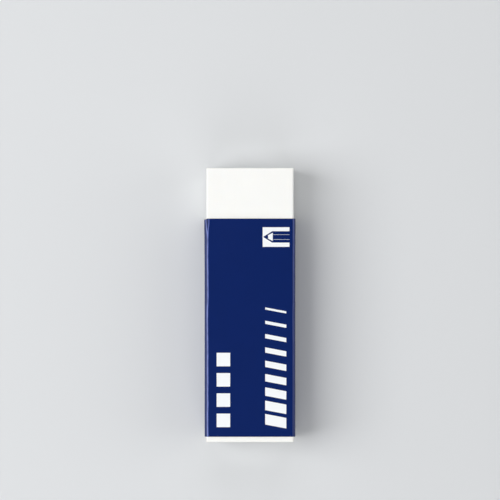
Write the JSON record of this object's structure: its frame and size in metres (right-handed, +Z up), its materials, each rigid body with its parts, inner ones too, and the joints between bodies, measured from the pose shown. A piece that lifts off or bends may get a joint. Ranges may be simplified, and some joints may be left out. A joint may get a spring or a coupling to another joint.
{
  "type": "rubber eraser",
  "caption": "White block eraser in a navy card sleeve with a glued back seam; the sleeve grips the block and slides back along it as the block wears.",
  "frame": {"origin": "middle of the underside: centred across and along the whole eraser, on the outer face of the sleeve's back panel", "axes": "+X across the broad face, +Y along the block towards its exposed working end, +Z up out of the printed front panel"},
  "size_m": [0.0216, 0.065, 0.0132],
  "materials": {
    "soft_vinyl": "matte",
    "printed_card": "satin"
  },
  "bodies": {
    "eraser": {"eraser_block": "soft_vinyl"},
    "sleeve": {"card_sleeve": "printed_card"}
  },
  "joints": [
    {"name": "sleeve_slide", "type": "slide", "parent": "eraser", "child": "sleeve", "axis": [0, -1, 0], "range_m": [-0.012, 0.054]}
  ]
}
